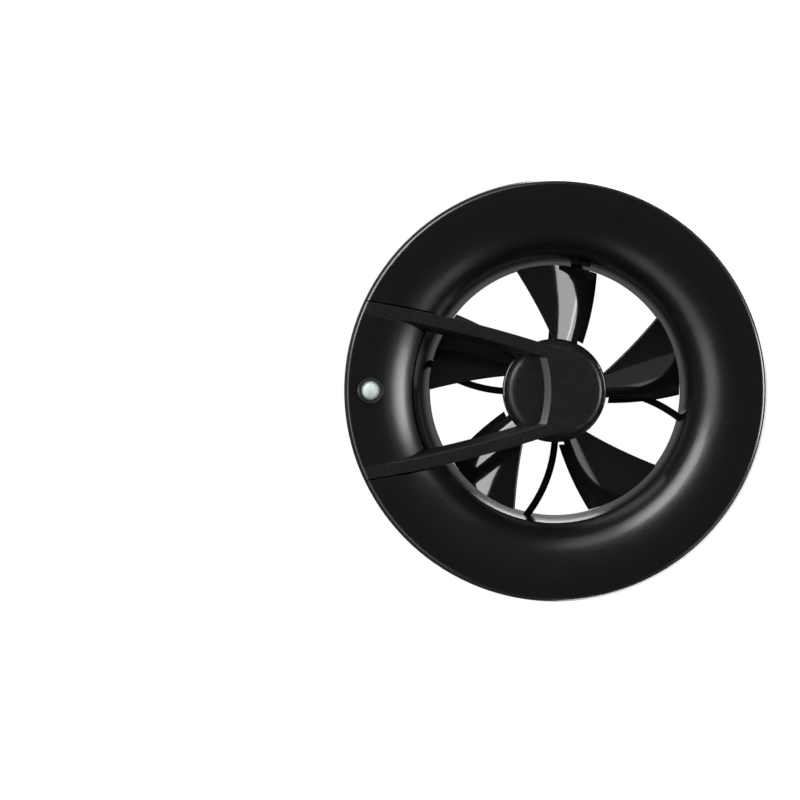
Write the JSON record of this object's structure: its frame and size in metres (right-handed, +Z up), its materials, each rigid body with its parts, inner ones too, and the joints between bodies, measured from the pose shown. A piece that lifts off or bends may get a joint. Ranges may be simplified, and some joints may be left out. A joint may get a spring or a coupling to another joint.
{
  "type": "axial fan",
  "caption": "Round black wall extract fan with a bellmouth ring, a two-armed sensor bridge across the hub and a duct tube behind.",
  "frame": {"origin": "on the fan's axis, in the plane of the wall behind the wall plate", "axes": "+Y along the axis into the duct, -Y is the front that faces the room, +Z up, +X to the right seen from the room"},
  "size_m": [0.193, 0.0759, 0.193],
  "materials": {
    "satin_black": "satin moulded",
    "grained_black": "fine grain",
    "gloss_black": "gloss",
    "lens_white": "milky, moulded",
    "steel": "zinc plated",
    "rotor_steel": "rolled",
    "magnet": "sintered",
    "copper": "enamelled wire",
    "bronze": "sintered",
    "board": "coated laminate",
    "component_black": "matt",
    "component_grey": "matt",
    "rubber": "soft"
  },
  "bodies": {
    "housing": {"wall_plate": "satin_black", "fan_tube": "gloss_black", "tube_screws": "steel", "ring_cover": "satin_black", "sensor_bridge": "grained_black", "hub_cap": "grained_black", "cap_screws": "steel", "lens": "lens_white", "pir_sensor": "steel", "pir_spacer": "component_black", "control_board": "board", "board_screws": "steel", "terminal_block": "component_grey", "terminal_screws": "steel", "power_module": "component_black", "filter_capacitor": "component_grey", "cable_grommet": "rubber", "motor_lead": "rubber", "bearing_sleeve": "bronze", "thrust_pad": "component_grey", "bearing_plug": "component_black", "stator_core": "rotor_steel", "stator_coils": "copper", "motor_board": "board"},
    "rotor": {"impeller": "gloss_black", "rotor_can": "rotor_steel", "rotor_magnet": "magnet", "motor_shaft": "steel", "shaft_clip": "steel"}
  },
  "joints": [
    {"name": "impeller_spin", "type": "hinge", "parent": "housing", "child": "rotor", "pos_m": [0, 0, 0], "axis": [0, -1, 0], "continuous": true}
  ]
}
